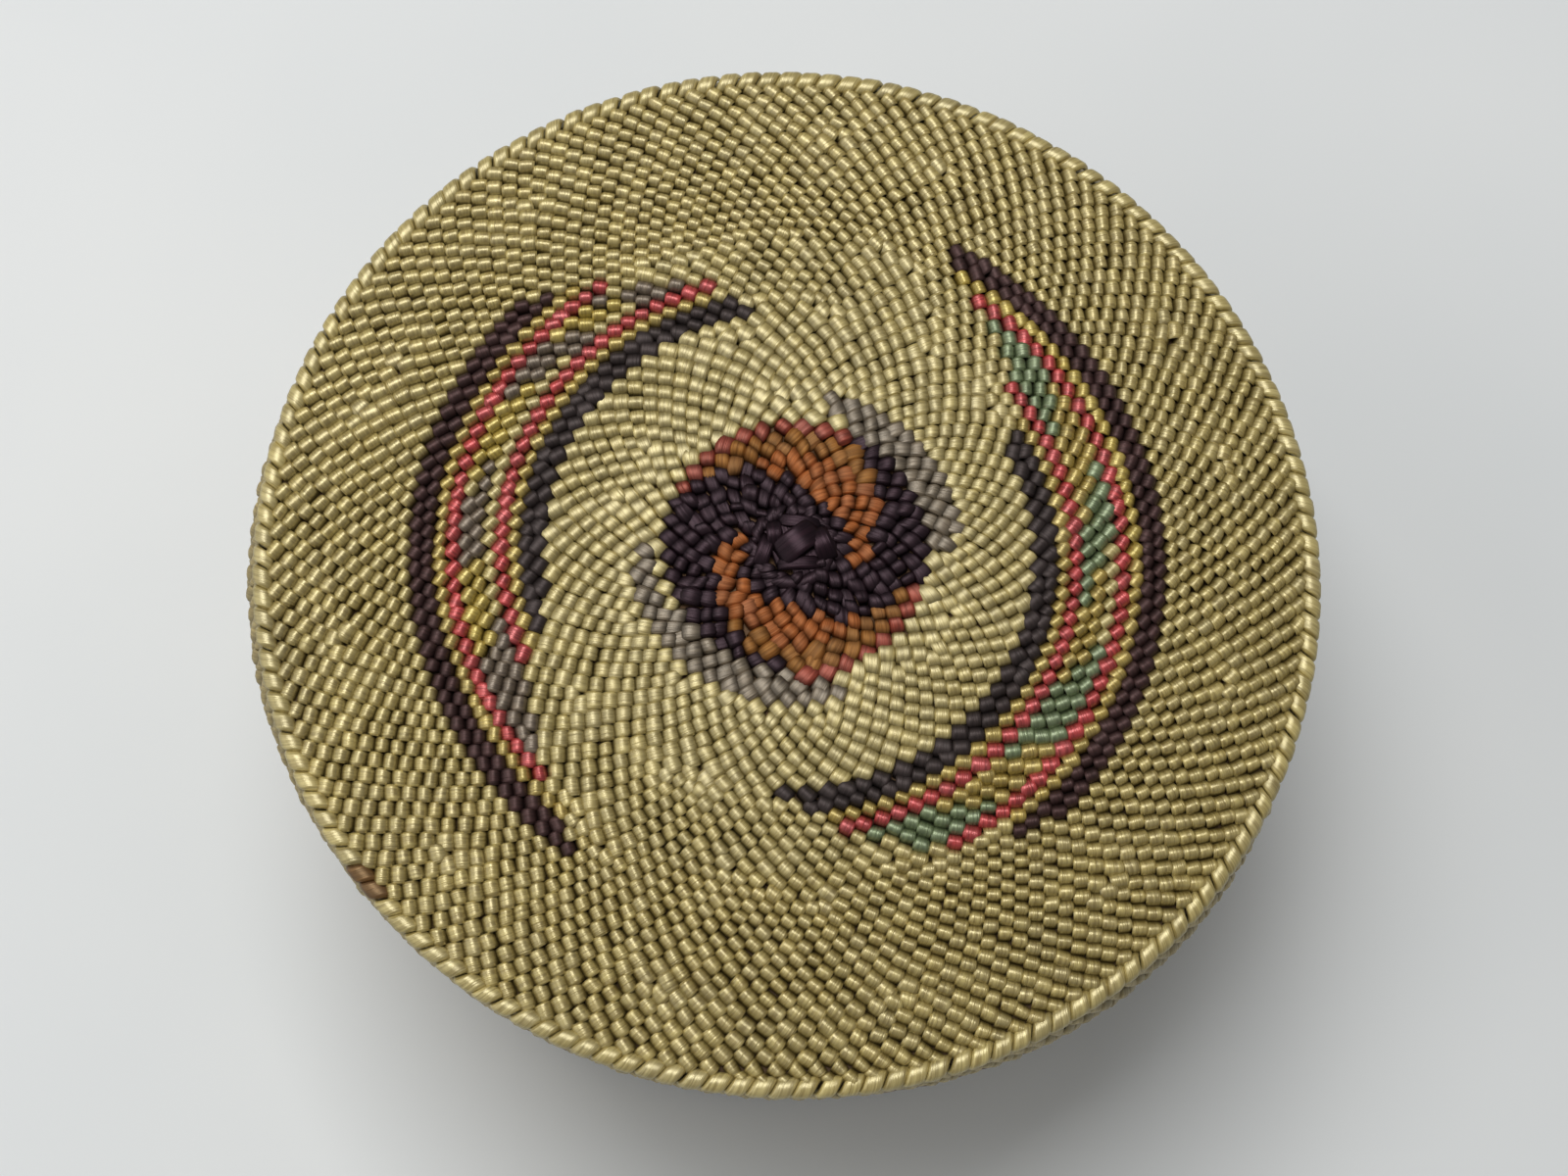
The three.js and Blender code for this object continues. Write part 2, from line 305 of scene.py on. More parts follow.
def stitches(sheet, corners, form, flip=True, shear=0.0):
    """Points, faces, local coordinates and stitch numbers of stitches on a sheet.

    corners holds four (angle, progress) pairs for each stitch: the two ends of the edge where its
    fibres come up, then the two of the edge where they dive. The shear slides one end of each cell
    along its fibres, against the other end.
    """
    one_each = (len(corners), 1, 1)

    def uneven(spread):
        return form.ragged * rng.normal(0, spread, one_each)

    turn = np.linspace(-DIVE, DIVE, form.along)
    edge = np.linspace(-1, 1, form.across)
    edge = np.sign(edge) * np.abs(edge) ** CROWDING
    turn, edge = np.meshgrid(turn, edge, indexing="ij")
    across = edge * form.seam
    along = form.reach * np.sin(turn)
    wide = 1 + uneven(UNEVEN_PLACE)
    lean = uneven(UNEVEN_PLACE) + shear
    shift = uneven(UNEVEN_PLACE)
    at = (along * wide + lean * across + shift)[..., None]
    aside = (across * (1 + form.pinch * (PINCH_BALANCE - along**2)))[..., None]
    first, second, third, fourth = (corners[:, index, None, None, :] for index in range(4))
    low = first * (1 - aside) + second * (1 + aside)
    high = third * (1 - aside) + fourth * (1 + aside)
    place = (low * (1 - at) + high * (1 + at)) / 4
    tall = form.height * (1 + uneven(UNEVEN_HEIGHT))
    arch = np.cos(turn) * (1 + np.abs(np.cos(turn))) / 2
    arch = np.sign(arch) * np.abs(arch) ** (1 - FLATTENING * form.flat)
    shoulder = form.shoulder * np.abs(edge) ** SHOULDER_POWER
    phase = rng.uniform(0, TURN, one_each)
    number = form.strands * rng.uniform(*STRAND_SHARES, one_each)
    depth = form.ragged * rng.uniform(0, DEEPEST_RIDGE, one_each)
    ridges = depth * np.sin(TURN * number * (across + 1) / 2 + phase) * np.clip(arch, 0, 1)
    tip = uneven(UNEVEN_TIP) * along
    slope = uneven(UNEVEN_SLOPE) * across
    lift = form.lift + tall * arch - shoulder + ridges + tip + slope
    points = sheet(place[..., 0], place[..., 1], lift)
    chance = rng.uniform(0, 1, one_each)
    local = np.stack(np.broadcast_arrays(edge, turn / (math.pi / 2), chance), axis=-1)
    faces = grid_faces(len(corners), form.along, form.across, flip)
    owner = np.repeat(np.arange(len(corners)), (form.along - 1) * (form.across - 1))
    return points.reshape(-1, 3), faces, local.reshape(-1, 3), owner


def pick(points, faces, local, owner, wanted, form):
    """The part of stitched points and faces that belongs to the wanted stitches."""
    per_stitch = form.along * form.across
    keep = np.flatnonzero(wanted)
    spots = (keep[:, None] * per_stitch + np.arange(per_stitch)).ravel()
    number = np.full(len(points), -1)
    number[spots] = np.arange(len(spots))
    return points[spots], number[faces[wanted[owner]]], local[spots]


def unit(vectors):
    """The same directions, with the length of one."""
    return vectors / np.maximum(np.linalg.norm(vectors, axis=-1, keepdims=True), 1e-6)


def tube(path, radius, sides):
    """Points, faces and local coordinates of a tube along a path of points, open at both ends."""
    ahead = unit(np.gradient(path, axis=0))
    out = unit(path * [1, 1, 0])
    out = unit(out - ahead * (out * ahead).sum(axis=1, keepdims=True))
    side = np.cross(ahead, out)
    turn = np.linspace(0, TURN, sides + 1)
    ring = out[:, None] * np.cos(turn)[None, :, None] + side[:, None] * np.sin(turn)[None, :, None]
    points = path[:, None] + ring * radius
    length = np.concatenate([[0], np.cumsum(np.linalg.norm(np.diff(path, axis=0), axis=1))])
    across = np.broadcast_to(turn[None] / TURN * 2 - 1, points.shape[:2])
    # The along coordinate is the length in millimetres, so the material's painted dip shade darkens
    # nearly all of the tube.
    along = np.broadcast_to(length[:, None], points.shape[:2])
    local = np.stack([across, along, 0.5 + 0 * across], axis=-1)
    faces = grid_faces(1, len(path), sides + 1, flip=True)
    return points.reshape(-1, 3), faces, local.reshape(-1, 3)


def together(parts):
    """One set of points, faces and local coordinates from several."""
    points, faces, local = zip(*parts)
    starts = np.cumsum([0] + [len(part) for part in points[:-1]])
    faces = [part + start for part, start in zip(faces, starts)]
    return np.concatenate(points), np.concatenate(faces), np.concatenate(local)


def piece(name, shape, material, body, nodes, stain_and_shade=None):
    """One finished piece of the basket or of the lid, in place of the plainer solids named."""
    points, faces, local = shape
    obj = mesh_object(name, points, faces, local=local, stain_and_shade=stain_and_shade)
    obj.data.materials.append(materials[material])
    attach(obj, body)
    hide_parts(*nodes)


# The lid's spiral. A turn is one way round, counted from the lid's edge inward.

# Distance of the spiral from the lid's middle, after so many turns.
SPIRAL = [(0, 58.9), (13, 41.0), (23, 27.4), (33.2, 14.1), (42, 3.1)]
# Stitches in a round, after so many turns. They get fewer where warps end.
COUNTS = [
    (0, 155.5), (5.7, 155.5), (6.5, 142.5), (13.7, 142.5), (15.5, 128.5), (15.9, 106.5), (18.9, 106.5),
    (19.2, 101.5), (21.8, 101.5), (22.5, 71.5), (28.6, 71.5), (29.4, 56.5), (30.2, 56.5), (31.0, 50.5),
    (31.7, 50.5), (32.5, 38.5), (34.0, 38.5), (35.6, 33.5), (37.2, 27.5), (42, 10.5),
]
SPIRAL_START = 0.7  # where the spiral parts from the edge round
SPIRAL_END = 41.9
FIRST_ROUND = 57.3  # radius of the round beside the edge
SETTLING = 4  # turns over which the spiral comes to its own course
BLENDING = 0.14  # the part of each of these turns over which it moves in
# How the stitches share out the room: how often, how far each time, and how much each side counts.
SHARING_PASSES = 24
SHARING_STEP = 0.5
WEIGHT_BESIDE = 0.4
WEIGHT_ACROSS = 0.3
# How uneven the spiral is: spreads of the gaps between stitches and of the rounds' places.
UNEVEN_GAP = 0.04
UNEVEN_ROUND = 0.035
# How much larger a stitch is when it's astray, and from how far astray it grows no more.
SWELLING = 0.5
MOST_ASTRAY = 0.7
PATTERN_START = 12.25  # turns before the pattern's first round
PATTERN_ANGLE = 100  # degrees, where the pattern's rounds are counted from
SKIRT_TOP = 59.1  # progress where the skirt's first round begins, under the edge round


def spiral_radius(turns):
    """Distance of the spiral from the middle. The first turns are pressed to the edge round."""
    free = looked_up(turns, SPIRAL)
    number = np.floor(turns - SPIRAL_START)
    share = turns - SPIRAL_START - number
    pressed = FIRST_ROUND - looked_up(SPIRAL_START + share, SPIRAL)
    last = FIRST_ROUND - looked_up(SPIRAL_START + 1, SPIRAL)
    part = np.clip(1 - number / SETTLING, 0, 1)
    part_before = np.clip(1 - (number - 1) / SETTLING, 0, 1) * (number > 0)
    blend = eased(share / BLENDING)
    return free + pressed * part * blend + last * part_before * (1 - blend)


def spiral_turns():
    """Places of the stitches along the spiral, in turns. Each lies between two of the round before."""
    first = COUNTS[0][1]
    turns = [SPIRAL_START + index / first for index in range(int(first) + 1)]
    index = 0
    spare = 0.0
    while turns[-1] < SPIRAL_END:
        wanted = 1 / looked_up(turns[index] + 1, COUNTS)
        spare += 1 - (turns[index + 1] - turns[index]) / wanted
        step = 2 if spare > 1 else 1
        turns.append((turns[index] + turns[index + step]) / 2 + 1)
        index += step
        spare -= step - 1
    return settled(np.array(turns))


def between(turns, place):
    """The middle of the two stitches on either side of a place."""
    index = np.clip(np.searchsorted(turns, place), 1, len(turns) - 1)
    return (turns[index - 1] + turns[index]) / 2


def settled(turns):
    """The stitches, moved a little to share out the room between their neighbours."""
    for _ in range(SHARING_PASSES):
        own = turns[1:-1]
        beside = (turns[:-2] + turns[2:]) / 2
        outer = np.where(own - 1 > turns[0], between(turns, own - 1) + 1, beside)
        inner = np.where(own + 1 < turns[-1], between(turns, own + 1) - 1, beside)
        wanted = WEIGHT_BESIDE * beside + WEIGHT_ACROSS * outer + WEIGHT_ACROSS * inner
        turns[1:-1] = own + SHARING_STEP * (wanted - own)
    return turns


def angle_of(turns):
    """The angle on the lid, in radians, after so many turns."""
    return np.radians(PATTERN_ANGLE + 360 * (turns - PATTERN_START))


def spiral_corners(turns):
    """Corners of the stitches' cells on the lid, and the stitches' own places in turns."""
    gaps = (turns[1:] + turns[:-1]) / 2
    step = np.diff(gaps)
    own = turns[1:-1]
    before = gaps[:-1] + rng.normal(0, UNEVEN_GAP, len(own)) * step
    after = gaps[1:] + rng.normal(0, UNEVEN_GAP, len(own)) * step
    outer = spiral_radius(np.maximum(own - 1, 0))
    outer = np.where(own - 1 < SPIRAL_START, spiral_radius(own) + ROUND_RISE, outer)
    inner = spiral_radius(own + 1)
    jitter = rng.normal(0, UNEVEN_ROUND, (4, len(own)))
    corners = cells(
        (angle_of(before), spiral_radius(before) + jitter[0]),
        (angle_of(own), outer + jitter[1]),
        (angle_of(own), inner + jitter[2]),
        (angle_of(after), spiral_radius(after) + jitter[3]),
    )
    # Where the stitches of neighbouring rounds don't alternate, they are larger and close the gap.
    astray = np.abs(between(turns, own - 1) + 1 - own) * (own - 1 > turns[0])
    astray += np.abs(between(turns, own + 1) - 1 - own) * (own + 1 < turns[-1])
    swell = 1 + SWELLING * np.clip(astray / step, 0, MOST_ASTRAY)
    middle = corners.mean(axis=1, keepdims=True)
    return middle + (corners - middle) * for_each(swell), own


def by_turns(dyes, *places):
    """Stretches from each place to the next, in two dyes by turns."""
    return list(zip(places, places[1:], dyes * len(places)))


# The dyed pattern: for each round, the stretches of a colour, in degrees from PATTERN_ANGLE up.
GREY_GOLD = ("grey", "gold")
GREEN_YELLOW = ("green", "yellow")
PATTERN = {
    0: [(136.5, 236.5, "brown"), (312.5, 424, "brown")],
    1: [(131, 231, "brown"), (306.5, 420.5, "brown")],
    2: [(128.5, 230, "yellow"), (308, 358, "yellow"), (359, 420, "gold")],
    3: [(123, 225.5, "red"), (297.3, 416, "red")],
    4: [
        *by_turns(GREY_GOLD, 124.5, 128.5, 139, 151, 169),
        *by_turns(GREY_GOLD, 169.5, 185, 201.5, 220),
        *by_turns(GREEN_YELLOW, 292, 307, 323.5, 343),
        *by_turns(GREEN_YELLOW, 360, 377, 393.5, 411),
    ],
    5: [
        *by_turns(GREY_GOLD, 116.5, 124.5, 134, 148, 164, 181.5, 198, 216),
        *by_turns(GREEN_YELLOW, 289, 302.5, 320.5, 337.5, 355.5, 372.5, 389, 406),
    ],
    6: [
        (112, 122, "grey"),
        (132, 137, "grey"),
        (194, 209, "grey"),
        *by_turns(GREEN_YELLOW, 284, 296.5, 313, 331.5, 350, 367, 384, 401.5),
    ],
    7: [(106.5, 206, "red"), (278.5, 397.5, "red")],
    8: [(108.5, 204.5, "yellow"), (277, 390, "yellow")],
    9: [(101.5, 199, "black"), (272, 390.5, "black"), (456.5, 460, "black")],
    10: [(100, 194.5, "black"), (267.5, 385.5, "black")],
    17: [(366, 438, "mauve")],
    18: [(188, 293, "mauve"), (357, 436, "mauve")],
    19: [(180, 286, "mauve"), (355, 422, "mauve")],
    20: [(208, 272, "mauve"), (273.5, 342, "brick"), (342, 423, "plum"), (423, 460, "brick")],
    21: [(100, 153.5, "brick")],
}
PINWHEEL_ROUND = 21
# The pinwheel's two arms: degrees at ARM_RADIUS where each begins and ends, and the degrees by which
# both move on for each millimetre further out.
ARMS = [(338, 440, 12, 11), (160, 275, 15.5, 10)]
ARM_RADIUS = 6.8
ARM_INSIDE = 6.2
ARM_FADED = 11.0  # the arms are paler outside this radius


def dye_of(turns):
    """The colour of the stitch at that place."""
    ahead = 360 * (turns - PATTERN_START)
    round_number = math.floor(ahead / 360)
    degrees = PATTERN_ANGLE + ahead - 360 * round_number
    for start, end, dye in PATTERN.get(round_number, []):
        if start <= degrees < end:
            return dye
    if round_number < PINWHEEL_ROUND:
        return "straw"
    radius = spiral_radius(turns)
    if radius < ARM_INSIDE:
        return "plum"
    for start, end, start_turn, end_turn in ARMS:
        start += start_turn * (radius - ARM_RADIUS)
        end += end_turn * (radius - ARM_RADIUS)
        if (degrees - start) % 360 < end - start:
            return "faded_orange" if radius > ARM_FADED else "orange"
    return "plum"


# Materials.


def colour(red, green, blue):
    """A colour as seen on a screen, 0 to 255, as the shader takes it."""
    parts = []
    for value in (red, green, blue):
        share = value / 255
        parts.append(share / 12.92 if share <= 0.04045 else ((share + 0.055) / 1.055) ** 2.4)
    return (*parts, 1.0)


def node(tree, kind, inputs=None, **settings):
    """A shader node with its settings, inputs as values or as another node's output."""
    made = tree.nodes.new("ShaderNode" + kind)
    for key, value in settings.items():
        setattr(made, key, value)
    for key, value in (inputs or {}).items():
        if isinstance(value, bpy.types.NodeSocket):
            tree.links.new(value, made.inputs[key])
        else:
            made.inputs[key].default_value = value
    return made


def mixed(tree, factor, first, second, blend="MIX"):
    """A colour between two others."""
    inputs = {0: factor, 6: first, 7: second}
    return node(tree, "Mix", inputs, data_type="RGBA", blend_type=blend).outputs[2]


def ranged(tree, value, from_low, from_high, to_low, to_high):
    """A value carried from one range to another."""
    inputs = {"Value": value, "From Min": from_low, "From Max": from_high}
    inputs |= {"To Min": to_low, "To Max": to_high}
    return node(tree, "MapRange", inputs).outputs[0]


def clouded(tree, place, stretch, detail):
    """A cloudy value, with so many changes along each axis."""
    stretched = node(tree, "VectorMath", {0: place, 1: stretch}, operation="MULTIPLY")
    inputs = {"Vector": stretched.outputs[0], "Scale": 1.0, "Detail": detail}
    return node(tree, "TexNoise", inputs).outputs[0]


def worked(tree, operation, first, second=0.0):
    """The outcome of some arithmetic."""
    return node(tree, "Math", {0: first, 1: second}, operation=operation).outputs[0]


# Grass and bark. The grains' changes of tone across a strip, along it and from strip to strip.
FINE_GRAIN = (0.4, 91.0)  # its changes across are the fibres
BROAD_GRAIN = (2.6, 0.5, 57.0)
GRAIN_DARK = 0.8  # the sum of both grains at which a fibre has its dark colour
GRAIN_LIGHT = 1.2
TONE_SPREAD = 0.2  # how much strips differ in tone
GREYEST = 0.22  # how far the greyest strip goes towards grey
# Painted shade: where a strip darkens towards its ends and its sides, as shares of its length and width,
# and how much. It stands in for the shade in the dips and in the gaps between strips.
PAINTED_SHADE_ENDS = (0.12, 0.7, 0.0, 0.94)
PAINTED_SHADE_SIDES = (0.86, 1.0, 0.0, 0.8)
PAINTED_DIP_SHADE = 0.25  # the dark colour is this much darker in the dips
# The colour of the stains, which also gives the spot of painted shade on the skirt.
STAIN_AND_SHADE_COLOUR = (50, 30, 14)
TINGE = 0.45  # how far the shine takes on the grass's own colour, from 0 to 1
BUMP_STRENGTH = 0.9
BUMP_HEIGHT = 0.00006  # metres
FIBRES = 9.0
BARK_FIBRES = 5.0
REFRACTION = 2.05  # high, because the fibres are so glossy


def fibre_material(name, light, dark, rough, shine, fibres=FIBRES, stained_or_shaded=False):
    """Split grass or bark: fine fibres along each strip, strips of differing tone, painted shade in the
    dips.
    """
    light = colour(*light)
    dark = colour(*dark)
    material = bpy.data.materials.new(name)
    material.use_nodes = True
    tree = material.node_tree
    tree.nodes.clear()
    local = node(tree, "Attribute", attribute_name="local").outputs["Vector"]
    across, along, chance = node(tree, "SeparateXYZ", {0: local}).outputs
    fine = clouded(tree, local, (fibres, *FINE_GRAIN), 2.0)
    grain = worked(tree, "ADD", fine, clouded(tree, local, BROAD_GRAIN, 1.0))
    base = mixed(tree, ranged(tree, grain, GRAIN_DARK, GRAIN_LIGHT, 0.0, 1.0), dark, light)
    draw = node(tree, "TexWhiteNoise", {"W": chance}, noise_dimensions="1D")
    tone = ranged(tree, draw.outputs["Value"], 0.0, 1.0, 1.0 - TONE_SPREAD, 1.0 + TONE_SPREAD * 0.6)
    tone = node(tree, "CombineColor", {0: tone, 1: tone, 2: tone}).outputs[0]
    base = mixed(tree, 1.0, base, tone, "MULTIPLY")
    tint = node(tree, "SeparateXYZ", {0: draw.outputs["Color"]}).outputs[1]
    grey = node(tree, "HueSaturation", {"Saturation": 0.6, "Value": 0.92, "Color": base})
    base = mixed(tree, ranged(tree, tint, 0.5, 1.0, 0.0, GREYEST), base, grey.outputs[0])
    # Painted shade: the colour darkens towards the strip's ends and sides, where the dips are.
    ends = ranged(tree, worked(tree, "ABSOLUTE", along), *PAINTED_SHADE_ENDS)
    sides = ranged(tree, worked(tree, "ABSOLUTE", across), *PAINTED_SHADE_SIDES)
    painted_shade = (*(part * PAINTED_DIP_SHADE for part in dark[:3]), 1.0)
    base = mixed(tree, worked(tree, "MAXIMUM", ends, sides), base, painted_shade)
    if stained_or_shaded:
        stain_and_shade = node(tree, "Attribute", attribute_name="stain_and_shade").outputs["Fac"]
        base = mixed(tree, stain_and_shade, base, colour(*STAIN_AND_SHADE_COLOUR))
    strongest = max(light[:3])
    inputs = {"Height": grain, "Strength": BUMP_STRENGTH, "Distance": BUMP_HEIGHT}
    inputs = {
        "Base Color": base,
        "Normal": node(tree, "Bump", inputs).outputs[0],
        "Roughness": rough,
        "Specular IOR Level": shine,
        "Specular Tint": (*((part / strongest) ** TINGE for part in light[:3]), 1.0),
        "IOR": REFRACTION,
    }
    shader = node(tree, "BsdfPrincipled", inputs)
    node(tree, "OutputMaterial", {"Surface": shader.outputs[0]})
    return material


# Each dye: its light and dark colour, how rough it is and how much it shines.
DYES = {
    "straw": ((194, 174, 106), (130, 108, 50), 0.34, 1.0),
    "inner_straw": ((200, 181, 116), (140, 120, 62), 0.37, 0.85),
    "edge": ((196, 178, 114), (142, 122, 66), 0.34, 0.85),
    "yellow": ((172, 146, 68), (116, 91, 36), 0.33, 1.0),
    "gold": ((188, 162, 72), (134, 108, 36), 0.33, 1.0),
    "red": ((196, 70, 68), (118, 28, 24), 0.34, 0.9),
    "brown": ((56, 34, 32), (32, 18, 15), 0.5, 0.25),
    "black": ((45, 36, 34), (26, 19, 17), 0.5, 0.2),
    "green": ((108, 122, 82), (60, 72, 40), 0.42, 0.85),
    "grey": ((108, 93, 75), (62, 48, 36), 0.43, 0.6),
    "mauve": ((117, 103, 83), (68, 56, 40), 0.43, 0.55),
    "brick": ((148, 62, 46), (98, 34, 22), 0.44, 0.5),
    "faded_orange": ((158, 104, 48), (116, 70, 28), 0.5, 0.22),
    "orange": ((172, 98, 50), (124, 62, 22), 0.5, 0.25),
    "plum": ((37, 23, 28), (18, 10, 14), 0.42, 0.13),
    "knot": ((33, 18, 24), (12, 6, 9), 0.35, 0.1),
    # Darker than the straw: painted shade for the skirt, a face that the light from above only grazes.
    "skirt": ((168, 148, 92), (108, 88, 46), 0.42, 0.8),
    "browned": ((98, 66, 32), (58, 36, 16), 0.45, 0.5),
}
BARKS = {
    "bark": ((128, 92, 58), (86, 58, 36), 0.7, 0.3),
    "bark_weft": ((150, 124, 82), (108, 84, 52), 0.65, 0.3),
    "dark_bark": ((84, 52, 42), (48, 28, 24), 0.6, 0.35),
}
# The grasses that take the stains and the spot of painted shade.
STAINED_OR_SHADED = ("straw", "inner_straw", "edge", "skirt")  # the grass that has darkened in places
materials = {}
for dye, looks in DYES.items():
    materials[dye] = fibre_material(dye + "_grass", *looks, stained_or_shaded=dye in STAINED_OR_SHADED)
for kind, looks in BARKS.items():
    materials[kind] = fibre_material(kind, *looks, BARK_FIBRES)


# The lid's stitches.

# How flat and how rough the stitches are, from 0 to 1, after so many turns.
FLAT = [(18, 0), (30, 1)]
ROUGH = [(30, 0), (35, 1)]
# The bands of straw on the lid's face: the turns where each begins and ends, and its dye.
BANDS = {"outer": (0, 6.5, "straw"), "middle": (6.5, 16, "straw"), "inner": (16, 43, "inner_straw")}
# The edge round: its strands, its section, and how far round the section the strands go.
EDGE_STRAND = Stitch(0.45, 17, 12, lift=-0.05, reach=1.0, seam=1.0, ragged=0.6, shoulder=0.6)
EDGE_COUNT = 155
EDGE_HALF_WIDTH = 1.35
EDGE_HALF_HEIGHT = 1.05
EDGE_TOP = EDGE_PLANE + 0.65
EDGE_MIDDLE = math.radians(80)
EDGE_REACH = math.radians(115)
BROWN_STRANDS = (60, 61)  # strands of the edge that have turned brown
# The stitches of the skirt and the wall, and the slanted strands that end the skirt.
SIDE_STITCH = Stitch(BEAD + 0.4, 9, 8, lift=-0.2, reach=1.08, seam=1.04, pinch=0.12, shoulder=0.3)
BINDING_STRAND = Stitch(BEAD, 7, 7, lift=-0.05)
BINDING_SLANT = 0.9
# Where the grass has darkened: degrees, millimetres from the middle, half the spot's size in both
# directions, and how dark it is. The first three are stains. The last, on the skirt at the lower right,
# is partly a brown stain and partly painted shade.
STAINS_AND_SHADE = [
    (192, 57.0, 6.5, 1.6, 0.3),
    (257, 50, 5, 2.0, 0.2),
    (217, 58.6, 3, 1.2, 0.4),
    # Partly a brown stain and partly painted shade.
    (308, 61.2, 16, 0.9, 0.8),
]


def stain_and_shade_at(points):
    """How stained the grass is at each point of the lid, with painted shade in one spot on the skirt."""
    degrees = np.degrees(np.arctan2(points[:, 1], points[:, 0])) % 360
    radius = np.hypot(points[:, 0], points[:, 1])
    amount = np.zeros(len(points))
    for at, distance, half_angle, half_width, strength in STAINS_AND_SHADE:
        far = ((degrees - at + 180) % 360 - 180) / half_angle
        off = (radius - distance) / half_width
        amount = np.maximum(amount, strength * np.exp(-(far**2) - off**2))
    return amount


def lid_grass():
    """The lid's face: straw in three bands, and one piece for each dye."""
    corners, own = spiral_corners(spiral_turns())
    flat = for_each(looked_up(own, FLAT))
    rough = for_each(looked_up(own, ROUGH))
    form = Stitch(
        (BEAD + 0.6) * (1 - 0.2 * flat),
        along=11,
        across=10,
        lift=-0.37,
        reach=1.1 + 0.1 * flat,
        seam=1.05 - 0.06 * flat,
        ragged=1 + 1.8 * rough,
        shoulder=0.3 + 0.3 * rough,
        pinch=0.12 + 0.1 * rough,
        flat=flat,
    )
    shear = squared(corners, spiral_radius(own)) * (1 - 0.3 * flat - 0.4 * rough)
    shape = stitches(lid_sheet, corners, form, shear=shear)
    dyes = np.array([dye_of(turns) for turns in own])
    for band, (start, end, dye) in BANDS.items():
        part = pick(*shape, (dyes == "straw") & (own >= start) & (own < end), form)
        stain_and_shade = stain_and_shade_at(part[0])
        piece("lid_grass_" + band, part, dye, "lid", ["lid_grass_top"], stain_and_shade)
    for dye in DYES:
        if dye == "straw" or not (dyes == dye).any():
            continue
        part = pick(*shape, dyes == dye, form)
        piece("lid_grass_" + dye, part, dye, "lid", ["lid_grass_top"])


def round_corners(number, offset, progress, reach, slant=0.0):
    """Cells of one closed round of stitches. With a slant they are slanted bars, else lozenges."""
    step = TURN / number
    middle = (np.arange(number) + offset) * step
    first, second = rng.normal(0, UNEVEN_GAP, (2, number)) * step
    half = step / 2
    outer = progress + reach
    inner = progress - reach
    if slant:
        early = middle - slant * step / 2
        late = middle + slant * step / 2
        return cells(
            (early - half + first, outer),
            (early + half + second, outer),
            (late - half + first, inner),
            (late + half + second, inner),
        )
    return cells(
        (middle - half + first, progress),
        (middle + second, outer),
        (middle - first, inner),
        (middle + half - second, progress),
    )


def even_places(start, end):
    """Places of rounds that share out the room from start to end, and the rise of each."""
    rounds = round((end - start) / ROUND_RISE)
    rise = (end - start) / rounds
    return start + rise * (np.arange(rounds) + 0.5), rise


def closed_rounds(sheet, numbers, places, reach, form, slant=0.0):
    """Closed rounds of stitches, each moved on half a stitch. The lozenges get square corners."""
    parts = []
    numbers = np.broadcast_to(numbers, len(places))
    for index, (number, place) in enumerate(zip(numbers, places)):
        corners = round_corners(number, 0.5 * index, place, reach, slant)
        shear = 0.0 if slant else squared(corners, np.full(number, SKIRT_RADIUS))
        parts.append(stitches(sheet, corners, form, shear=shear)[:3])
    return together(parts)


def lid_edge():
    """The stout round at the edge."""
    cover = EDGE_STRAND.height + EDGE_STRAND.lift
    radius = LID_RADIUS - EDGE_HALF_WIDTH
    height = EDGE_TOP - EDGE_HALF_HEIGHT
    cord = hoop_sheet(radius, height, EDGE_HALF_WIDTH - cover, EDGE_HALF_HEIGHT - cover)
    corners = round_corners(EDGE_COUNT, 0.25, EDGE_MIDDLE, EDGE_REACH, slant=0.8)
    shape = stitches(cord, corners, EDGE_STRAND)
    brown = np.isin(np.arange(EDGE_COUNT), BROWN_STRANDS)
    part = pick(*shape, ~brown, EDGE_STRAND)
    piece("lid_edge_strands", part, "edge", "lid", ["lid_edge_round"], stain_and_shade_at(part[0]))
    part = pick(*shape, brown, EDGE_STRAND)
    piece("lid_edge_brown_strands", part, "browned", "lid", ["lid_edge_round"])


def lid_skirt():
    """The skirt's rounds of stitches, and the two rounds of strands that end it."""
    depth = BINDING_TOP - SKIRT_END
    places, rise = even_places(SKIRT_TOP, LID_END - depth)
    part = closed_rounds(lid_sheet, EDGE_COUNT, places, rise, SIDE_STITCH)
    # The skirt dye is painted shade.
    piece("lid_skirt_stitches", part, "skirt", "lid", ["lid_skirt_grass"], stain_and_shade_at(part[0]))
    places = LID_END - depth / 2 + np.array([-depth, depth]) / 4
    part = closed_rounds(lid_sheet, EDGE_COUNT, places, depth / 4, BINDING_STRAND, BINDING_SLANT)
    piece("lid_binding_strands", part, "dark_bark", "lid", ["lid_skirt_binding"])


lid_grass()
lid_edge()
lid_skirt()


# The start knot: a few broad strips that cross over each other. Each has its middle, half its width
# and length, its turn in degrees and its height.
KNOT_STRIPS = [
    ((-1.9, 0.7), (1.1, 3.0), 20, 0.3),
    ((0, 0), (1.1, 3.5), 20, 0.35),
    ((1.9, -0.7), (1.1, 3.0), 20, 0.3),
    ((-3.2, -0.5), (0.9, 1.9), -18, 0.8),
    ((0.8, 2.7), (0.8, 2.2), 82, 0.75),
    ((0.6, -2.0), (0.8, 2.4), 92, 0.75),
    ((-2.1, 1.3), (0.9, 1.6), 6, 1.15),
    ((3.2, 0.2), (1.15, 1.9), 23, 1.3),
    ((0.5, 0.4), (1.6, 2.6), -53, 1.5),
]
# The short stitches that crowd round the knot: how many, how far out, and half the round's width.
KNOT_ROUND = (10, 4.2, 0.8)


